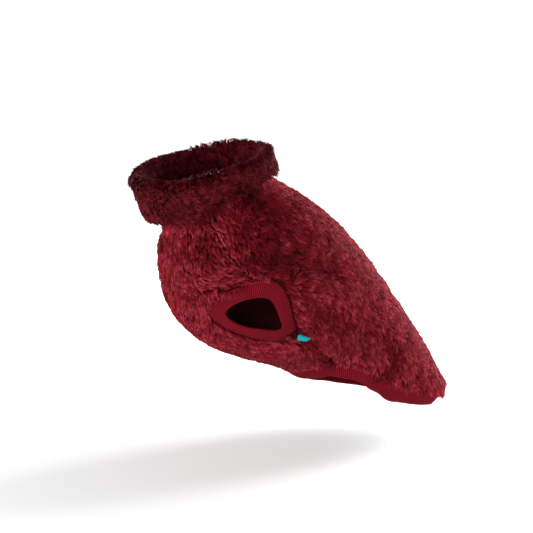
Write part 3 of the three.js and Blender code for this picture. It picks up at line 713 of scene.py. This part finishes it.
def collar_line(angle, share):
    """The middle of the collar's wall, from the neck seam (share 0) over the fold to its edge (share 1)."""
    angle, share = np.broadcast_arrays(np.asarray(angle, float), np.asarray(share, float))
    up = np.array([0, 0, 1])
    zero = np.zeros_like(angle)
    rise = -down_body(zero, angle)
    seam = below(zero, angle, FLEECE_WALL / 2) + rise * SEAM_GAP * MM
    top = collar_ring(COLLAR_FOLD, angle) + up * collar_wave(4, angle)[..., None]
    around = unit(collar_ring(COLLAR_FOLD, angle + 1) - collar_ring(COLLAR_FOLD, angle - 1))
    level = unit(np.stack([around[..., 1], -around[..., 0], zero], -1))
    edge = collar_ring(COLLAR_EDGE, angle) - up * collar_wave(3, angle)[..., None]
    edge = edge + level * collar_wave(2, angle)[..., None]
    from_seam = unit(top - seam)
    from_edge = unit(top - edge)
    crown = from_seam + from_edge
    crown = unit(crown - around * (crown * around).sum(-1, keepdims=True))
    out = unit(np.cross(around, crown))
    radius = COLLAR_TURN * MM
    centre = top - crown * radius
    turn_start = centre - out * radius
    turn_end = centre + out * radius
    stand_reach = np.linalg.norm(turn_start - seam, axis=-1, keepdims=True) * 0.4
    fall_reach = np.linalg.norm(turn_end - edge, axis=-1, keepdims=True) * 0.36
    tuck = unit(from_edge + out * COLLAR_TUCK)
    on_stand = np.clip(share / STAND_SHARE, 0, 1)
    on_turn = np.clip((share - STAND_SHARE) / (FALL_SHARE - STAND_SHARE), 0, 1)[..., None] * math.pi
    on_fall = (share - FALL_SHARE) / (1 - FALL_SHARE)
    stand = bezier(seam, seam + rise * stand_reach, turn_start - crown * stand_reach, turn_start, on_stand)
    turn = centre - out * radius * np.cos(on_turn) + crown * radius * np.sin(on_turn)
    on_fall = np.clip(on_fall, 0, 1.2)
    fall = bezier(turn_end, turn_end - crown * fall_reach, edge + tuck * fall_reach, edge, on_fall)
    share = share[..., None]
    return np.where(share < STAND_SHARE, stand, np.where(share < FALL_SHARE, turn, fall))


def collar_face(depth):
    """The collar's surface at a depth in millimetres below the pile's tips, by share and part of a turn."""
    def face(share, part):
        angle = part * 360
        around = collar_line(angle + 1, share) - collar_line(angle - 1, share)
        along = collar_line(angle, share + 0.01) - collar_line(angle, np.maximum(share - 0.01, 0))
        hidden = unit(np.cross(around, along))
        return collar_line(angle, share) + hidden * (depth - COLLAR_WALL / 2) * MM
    return face


def collar_base():
    """The collar's knitted base, closed right round."""
    rows, columns = 26, 96
    share, part = np.meshgrid(np.linspace(0, 1, rows), np.linspace(0, 1, columns + 1)[:-1], indexing="ij")
    front = collar_face(COLLAR_WALL - BASE_CLOTH - 0.1)(share, part)
    back = collar_face(COLLAR_WALL - 0.1)(share, part)
    outline = np.concatenate([front, back[::-1]])
    size = len(outline)
    index = np.arange(size * columns).reshape(size, columns)
    ahead = np.roll(index, -1, axis=1)
    faces = np.stack([index, ahead, np.roll(ahead, -1, axis=0), np.roll(index, -1, axis=0)], -1)
    faces = faces.reshape(-1, 4)
    piece = add_piece("collar_base", outline.reshape(-1, 3), [faces], BASE_KNIT)
    u, v = np.meshgrid(np.arange(columns) * 2.4, np.arange(size) * 2.3)
    add_corner_map(piece, "cloth_mm", np.stack([u, v], -1).reshape(-1, 2)[faces.ravel()])
    return piece


def collar_lie(share, part, roots):
    """How the collar's locks lie: short, curly and mostly sideways, hanging down at the lower edge."""
    swirl = soft_noise(roots, 20, 3)
    ruffle = soft_noise(roots, 7, 4)
    at_edge = np.clip((share - 0.92) / 0.08, 0, 1)
    turn = (60 + 45 * swirl[:, 0] + 50 * ruffle[:, 0]) * (1 - 0.7 * at_edge)
    height = 4.3 * (0.97 + 0.16 * ruffle[:, 1]) * (1 - 0.2 * at_edge)
    reach = 5.4 * (1 + 0.2 * swirl[:, 2])
    shade = 0.06 + 0.2 * ruffle[:, 2]
    return turn, height, reach, shade


# The collar's pile colours: the body's fleece colours darkened as painted shade.
SHADED_COLLAR_PILE = pile_fibre("collar teddy pile in painted shade", (0.026, 0.0006, 0.0014, 1), (0.112, 0.003, 0.007, 1),
                         (0.185, 0.016, 0.022, 1))
collar_cloth = collar_base()
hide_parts("collar")
collar_pile = pile_piece("collar_pile", collar_face(COLLAR_WALL - BASE_CLOTH - 0.1), 0.02, 1.0, collar_lie,
                         SHADED_COLLAR_PILE, 300, density=1.1, curl=1.9)

# Rib-knit bands: a strip of elastic rib knit, folded double along its free edge and sewn under the
# fleece round each armhole and round the hem. The ribs run from the seam to the free edge.

RIB_WALL = 2.2
RIB_DEPTH = 3.2
RIB_SWELL = 0.8
RIB_PITCH = 1.8
RIB_RELIEF = 0.46
SAMPLES_PER_RIB = 4
STITCH_HEIGHT = 1.1
ARM_BAND = 14.5
HEM_BAND = 17
HEM_GAP = 1.5
ARM_STEPS = 32
ARM_RUN = {"inward": 0.85, "outward": 0.32, "down": 0.2}
ARM_SMOOTHING = 3
ARM_ROUNDING = 4
HEM_SMOOTHING = 6
BACK_COLUMNS = 38
CHEST_COLUMNS = 20

# The hem band at angles from the middle of the chest: how far it turns in, and its share of straight down
HEM_CURL = {"angle": [0, 30, 50, 66, 85, 105, 135, 180], "curl": [14, 0, -4, 0, 12, 42, 70, 82],
            "hang": [0.6, 0.6, 1.2, 1.5, 0.9, 0.5, 0.5, 0.5]}


def rib_knit():
    """Burgundy rib knit: smoother and brighter than the pile, darker in the grooves as painted shade, with
    small stitches.
    """
    material, tree, shader = new_material("burgundy rib knit")
    shader.inputs["Roughness"].default_value = 0.8
    shader.inputs["Specular IOR Level"].default_value = 0.06
    shader.inputs["Sheen Weight"].default_value = 0.05
    shader.inputs["Sheen Roughness"].default_value = 0.4
    shader.inputs["Sheen Tint"].default_value = (1.0, 0.3, 0.38, 1)
    ribs = add_node(tree, "ShaderNodeUVMap", uv_map="rib_map")
    halves = add_node(tree, "ShaderNodeVectorMath", {0: ribs.outputs[0], 1: (2, 1, 1)}, operation="MULTIPLY")
    knit = add_node(tree, "ShaderNodeGroup", {"Place": halves.outputs[0]}, node_tree=KNIT_STITCHES)
    across = add_node(tree, "ShaderNodeSeparateXYZ", {0: ribs.outputs[0]})
    groove = maths(tree, "PINGPONG", across.outputs["X"], 0.5)
    # Painted shade in the grooves between the ribs.
    deep = ranged(tree, groove, 0, 0.36, 0.12, 1)
    place = add_node(tree, "ShaderNodeTexCoord")
    cloud = noise_over(tree, place, 70, 3)
    patch = ranged(tree, cloud.outputs["Fac"], 0.3, 0.7, 0.9, 1.08)
    shade = maths(tree, "MULTIPLY", maths(tree, "MULTIPLY", deep, knit.outputs["Shade"]), patch)
    tree.links.new(tinted(tree, (0.275, 0.0075, 0.0195), shade), shader.inputs["Base Color"])
    bump_by(tree, shader, knit.outputs["Height"], 0.5, 0.0002)
    return material


RIB_KNIT = rib_knit()


def evened(directions, reach):
    """The mean of each direction and a few to each side of it, on a list that closes on itself."""
    return unit(sum(np.roll(directions, k, axis=0) for k in range(-reach, reach + 1)))


def rounded(points, reach):
    """A closed line made rounder and kept in size: each point moves to the mean of a few to each side."""
    centre = points.mean(0)
    means = sum(np.roll(points, k, axis=0) for k in range(-reach, reach + 1)) / (2 * reach + 1)
    scale = np.linalg.norm(points - centre, axis=1).sum() / np.linalg.norm(means - centre, axis=1).sum()
    return centre + (means - centre) * scale


def round_band(values, columns):
    """Values at even steps along a closed line, as a smooth curve. Their last three numbers are the place."""
    count = len(values)
    fine = np.linspace(0, count, count * 12, endpoint=False)
    i = fine.astype(int)
    t = (fine - i)[:, None]
    p, q, r, s = (values[(i + k) % count] for k in (-1, 0, 1, 2))
    smooth = q + 0.5 * t * (r - p + t * (2 * p - 5 * q + 4 * r - s + t * (3 * (q - r) + s - p)))
    closed = np.concatenate([smooth, smooth[:1]])
    length = np.append(0, np.linalg.norm(np.diff(closed[:, -3:], axis=0), axis=-1).cumsum())
    places = np.linspace(0, length[-1], columns, endpoint=False)
    return np.stack([np.interp(places, length, closed[:, k]) for k in range(closed.shape[1])], -1)


def rib_band(name, roots, ends, normals, replaced):
    """A rib band from its seam line to its free edge, over cloth with the given normals at the seam."""
    middle = (roots + ends) / 2
    girth = np.linalg.norm(np.roll(middle, -1, axis=0) - middle, axis=-1).sum() / MM
    columns = round(girth / RIB_PITCH) * SAMPLES_PER_RIB
    lines = round_band(np.concatenate([roots, ends - roots, normals, middle], 1), columns)
    roots, runs, normals = lines[:, :3], lines[:, 3:6], lines[:, 6:9]
    width = np.linalg.norm(runs, axis=1).mean() / MM
    leaning = (normals * runs).sum(-1, keepdims=True) / (runs * runs).sum(-1, keepdims=True)
    across = unit(normals - runs * leaning)
    rib = np.arange(columns) / SAMPLES_PER_RIB
    relief = RIB_RELIEF * np.abs(np.sin(math.pi * rib)) ** 0.7
    fold = RIB_WALL / 2
    lying = 1 - fold / width
    outline = [(share * lying, 0.0) for share in (0.0, 0.06, 0.25, 0.5, 0.75)]
    outline += [(lying + math.sin(turn) * fold / width, fold * (math.cos(turn) - 1))
                for turn in np.radians([0, 45, 90, 135, 180])]
    outline += [(share * lying, -RIB_WALL) for share in (0.7, 0.35, 0.0)]
    rows = []
    heights = []
    for share, level in outline:
        swell = RIB_SWELL * math.sin(math.pi * share) if share < 1 else 0
        side = 1 + 2 * level / RIB_WALL
        raised = (level + swell + relief * side) * MM
        lengthwise = relief * math.sqrt(max(0, 1 - side**2)) / width
        rows.append(roots + runs * (share + lengthwise)[:, None] + across * raised[:, None])
        heights.append(share * width if level > -fold else 2 * width - share * width)
    grid = np.stack(rows)
    index = np.arange(grid.shape[0] * columns).reshape(grid.shape[0], columns)
    ahead = np.roll(index, -1, axis=1)
    faces = np.stack([index, np.roll(index, -1, axis=0), np.roll(ahead, -1, axis=0), ahead], -1)
    piece = add_piece(name, grid.reshape(-1, 3), [faces.reshape(-1, 4)], RIB_KNIT)
    row, column = np.meshgrid(np.arange(len(rows)), np.arange(columns), indexing="ij")
    row, column = row.ravel()[:, None], column.ravel()[:, None]
    corner_rows = np.concatenate([row, row + 1, row + 1, row], 1).ravel()
    corner_columns = np.concatenate([column, column, column + 1, column + 1], 1).ravel()
    lengths = np.append(heights, 2 * width + RIB_WALL)[corner_rows] / STITCH_HEIGHT
    add_corner_map(piece, "rib_map", np.stack([corner_columns / SAMPLES_PER_RIB, lengths], -1))
    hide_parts(replaced)
    return piece


def arm_band(side, name, node):
    """The band round the left armhole (side 1) or the right (side -1), drawn in and out by its elastic."""
    turns = side * np.arange(ARM_STEPS) * 2 * math.pi / ARM_STEPS
    ring, angle = armhole_edge(turns)
    edges = below(ring, side * angle, RIB_DEPTH)
    normals = normal_of(body_surface, ring, side * angle)
    outward = unit(normals.sum(0))
    down = np.array([0, 0, -1.0])
    down = unit(down - outward * (down @ outward))
    to_centre = edges.mean(0) - edges
    to_centre = unit(to_centre - outward * (to_centre @ outward)[:, None])
    runs = to_centre * ARM_RUN["inward"] + outward * ARM_RUN["outward"] + down * ARM_RUN["down"]
    along = np.roll(edges, -1, axis=0) - np.roll(edges, 1, axis=0)
    roots = edges + unit(np.cross(along, normals)) * SEAM_GAP * MM
    ends = rounded(roots + evened(runs, ARM_SMOOTHING) * ARM_BAND * MM, ARM_ROUNDING)
    return rib_band(name, roots, ends, normals, node)


def hem_band():
    """The band round the hem, turned in under the back."""
    back_edge = panel_edge(HEM_RING, 1)
    chest_edge = panel_edge(HEM_RING, -1)
    angle = np.append(np.linspace(back_edge, 360 - back_edge, BACK_COLUMNS + 1),
                      np.linspace(360 - chest_edge, 360 + chest_edge, CHEST_COLUMNS + 1)[1:-1])
    ring = np.full_like(angle, HEM_RING)
    normals = normal_of(body_surface, ring, angle)
    downs = down_body(ring, angle)
    from_chest = np.abs(turn_between(angle, 0))
    curl = np.radians(np.interp(from_chest, HEM_CURL["angle"], HEM_CURL["curl"]))[:, None]
    hang = np.interp(from_chest, HEM_CURL["angle"], HEM_CURL["hang"])[:, None]
    runs = evened(downs * np.cos(curl) - normals * np.sin(curl) + hang * np.array([0, 0, -1]), HEM_SMOOTHING)
    roots = below(ring, angle, RIB_DEPTH) + downs * HEM_GAP * MM
    return rib_band("hem_rib_band", roots, roots + runs * HEM_BAND * MM, normals, "hem_rib")


arm_band(1, "arm_band_left", "armhole_rib_left")
arm_band(-1, "arm_band_right", "armhole_rib_right")
hem_band()

# Side-seam tab: a short length of plain teal woven tape, folded in half, with both ends caught in the
# left side seam. It has swung down and lies over the seam.

TAB = {"ring": 5.55, "behind": 2, "swing": 50, "clearance": 0.8, "width": 8, "length": 8, "wall": 1.4}
TAPE_THICKNESS = 0.45


def woven_tape():
    """Teal polyester tape: a fine satin weave with firmer edges and a slight gloss."""
    material, tree, shader = new_material("teal tape")
    shader.inputs["Roughness"].default_value = 0.5
    shader.inputs["Specular IOR Level"].default_value = 0.2
    tape = add_node(tree, "ShaderNodeUVMap", uv_map="tape_mm")
    place = add_node(tree, "ShaderNodeSeparateXYZ", {0: tape.outputs[0]})
    warp = maths(tree, "SINE", maths(tree, "MULTIPLY", place.outputs["X"], 2 * math.pi / 0.32))
    weft = maths(tree, "SINE", maths(tree, "MULTIPLY", place.outputs["Y"], 2 * math.pi / 0.4))
    weave = maths(tree, "MULTIPLY", warp, weft)
    half = TAB["width"] / 2
    edge = maths(tree, "ABSOLUTE", maths(tree, "SUBTRACT", place.outputs["X"], half))
    selvedge = ranged(tree, edge, half - 0.9, half - 0.5, 1, 0.8)
    threads = ranged(tree, weave, -1, 1, 0.86, 1.04)
    shade = maths(tree, "MULTIPLY", selvedge, threads)
    tree.links.new(tinted(tree, (0.003, 0.430, 0.520), shade), shader.inputs["Base Color"])
    bump_by(tree, shader, weave, 0.5, 0.0001)
    return material


def tab_surface(along, hang, height):
    """A point of the tab, given in millimetres along its seam, out from it and above the pile's tips."""
    seam = body_surface(TAB["ring"] + np.array([0, 0.1]), seam_angle(TAB["ring"] + np.array([0, 0.1])))
    rings_per_mm = 0.1 * MM / np.linalg.norm(seam[1] - seam[0])
    swing = math.radians(TAB["swing"])
    ring = TAB["ring"] + rings_per_mm * (along * math.cos(swing) + hang * math.sin(swing))
    behind = TAB["behind"] - along * math.sin(swing) + hang * math.cos(swing)
    return below(ring, seam_angle(ring) + behind / FOLD_MM_PER_DEGREE, -height)


def side_tab():
    """The folded tape, from the seam out along its front, round the fold and back behind."""
    top = TAB["clearance"] + TAB["wall"]
    radius = TAB["wall"] / 2
    straight = TAB["length"] - radius
    front = [(hang, top) for hang in np.linspace(-1.2, straight, 12)]
    turn = [(straight + radius * math.sin(a), top - radius + radius * math.cos(a))
            for a in np.radians([30, 60, 90, 120, 150])]
    back = [(hang, TAB["clearance"]) for hang in np.linspace(straight, -1.2, 12)]
    route = np.array(front + turn + back)
    way = np.gradient(route, axis=0)
    inward = unit(np.stack([way[:, 1], -way[:, 0]], -1))
    across = np.linspace(0, TAB["width"], 13)
    grids = []
    for depth in (0, TAPE_THICKNESS):
        line = route + inward * depth
        hang, along = np.meshgrid(line[:, 0], across, indexing="ij")
        height, _ = np.meshgrid(line[:, 1], across, indexing="ij")
        lift = 0.35 * np.clip(hang / TAB["length"], 0, 1) ** 2 * np.cos(along / TAB["width"] * math.pi)
        grids.append(tab_surface(along, hang, height + lift))
    piece = cloth_shell("side_tab", grids[0], grids[1], woven_tape())
    flat = piece.data.uv_layers["cloth_mm"]
    flat.name = "tape_mm"
    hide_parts("label_tab")
    return piece


tab = side_tab()

# Floor and backdrop, light and camera: a plain white studio, soft from the front with a rim from behind.

FLOOR_HEIGHT = -0.245
PICTURE_SIDE = 533
METRES_PER_PIXEL = 0.00088
CAMERA_AZIMUTH = math.radians(52)
CAMERA_ELEVATION = math.radians(10)
CAMERA_DISTANCE = 1.7
ORIGIN_PIXEL = (264, 190)
SENSOR = 36

floor_mesh = bpy.data.meshes.new("floor")
corners = [(x, y, FLOOR_HEIGHT) for x, y in ((-20, -20), (20, -20), (20, 20), (-20, 20))]
floor_mesh.from_pydata(corners, [], [(0, 1, 2, 3)])
floor = bpy.data.objects.new("floor", floor_mesh)
bpy.context.scene.collection.objects.link(floor)


def white_paper():
    """White paper that looks lit all over away from the garment, so that it runs into a white backdrop."""
    material, tree, shader = new_material("white paper")
    shader.inputs["Base Color"].default_value = (0.9, 0.9, 0.9, 1)
    shader.inputs["Roughness"].default_value = 0.9
    place = add_node(tree, "ShaderNodeTexCoord")
    away = add_node(tree, "ShaderNodeVectorMath", {0: place.outputs["Object"]}, operation="LENGTH")
    far = ranged(tree, away.outputs["Value"], 0.1, 0.9, 0.25, 1, "SMOOTHSTEP")
    ray = add_node(tree, "ShaderNodeLightPath")
    glow = maths(tree, "MULTIPLY", far, ray.outputs["Is Camera Ray"])
    shader.inputs["Emission Color"].default_value = (1, 1, 1, 1)
    tree.links.new(glow, shader.inputs["Emission Strength"])
    return material


floor_mesh.materials.append(white_paper())

right = np.array([math.cos(CAMERA_AZIMUTH), math.sin(CAMERA_AZIMUTH), 0])
up = np.array([-math.sin(CAMERA_AZIMUTH) * math.sin(CAMERA_ELEVATION),
               math.cos(CAMERA_AZIMUTH) * math.sin(CAMERA_ELEVATION), math.cos(CAMERA_ELEVATION)])
forward = np.array([-math.sin(CAMERA_AZIMUTH) * math.cos(CAMERA_ELEVATION),
                    math.cos(CAMERA_AZIMUTH) * math.cos(CAMERA_ELEVATION), -math.sin(CAMERA_ELEVATION)])
middle = PICTURE_SIDE / 2
aim = ((middle - ORIGIN_PIXEL[0]) * right + (ORIGIN_PIXEL[1] - middle) * up) * METRES_PER_PIXEL
camera_data = bpy.data.cameras.new("camera")
camera_data.sensor_width = SENSOR
camera_data.lens = SENSOR * CAMERA_DISTANCE / (PICTURE_SIDE * METRES_PER_PIXEL)
camera = bpy.data.objects.new("camera", camera_data)
turned = Matrix((right, up, -forward)).transposed().to_4x4()
turned.translation = Vector(aim - forward * CAMERA_DISTANCE)
camera.matrix_world = turned
bpy.context.scene.collection.objects.link(camera)
bpy.context.scene.camera = camera

# Lights, in metres from the garment: to the right, up and towards the camera, then their size and watts
LIGHTS = {
    "key": {"right": -1.2, "up": 0.05, "back": 1.2, "size": 1.0, "watts": 24},
    "fill": {"right": 0.9, "up": 0.0, "back": 1.4, "size": 1.2, "watts": 16},
    "rim": {"right": 1.2, "up": 0.5, "back": -0.7, "size": 0.6, "watts": 26},
    "rim_left": {"right": -1.1, "up": 0.3, "back": -0.9, "size": 0.7, "watts": 10},
}
target = Vector((0, 0.03, -0.09))
for name, place in LIGHTS.items():
    lamp = bpy.data.lights.new(name, "AREA")
    lamp.size = place["size"]
    lamp.energy = place["watts"]
    light = bpy.data.objects.new(name, lamp)
    light.location = target + Vector(right) * place["right"] + Vector((0, 0, 1)) * place["up"]
    light.location += Vector((-forward[0], -forward[1], 0)).normalized() * place["back"]
    light.rotation_euler = (target - light.location).to_track_quat("-Z", "Y").to_euler()
    bpy.context.scene.collection.objects.link(light)


def white_studio():
    """A room that looks white, and sends less light down from its ceiling than from its walls."""
    world = bpy.data.worlds.new("studio")
    world.use_nodes = True
    tree = world.node_tree
    way = add_node(tree, "ShaderNodeTexCoord")
    height = add_node(tree, "ShaderNodeSeparateXYZ", {0: way.outputs["Generated"]})
    wall = ranged(tree, height.outputs["Z"], 0.05, 0.8, 0.5, 0.08)
    ray = add_node(tree, "ShaderNodeLightPath")
    bright = maths(tree, "MAXIMUM", wall, ray.outputs["Is Camera Ray"])
    tree.links.new(bright, tree.nodes["Background"].inputs["Strength"])
    tree.nodes["Background"].inputs["Color"].default_value = (1, 1, 1, 1)
    return world


bpy.context.scene.world = white_studio()
bpy.context.scene.view_settings.view_transform = "Standard"
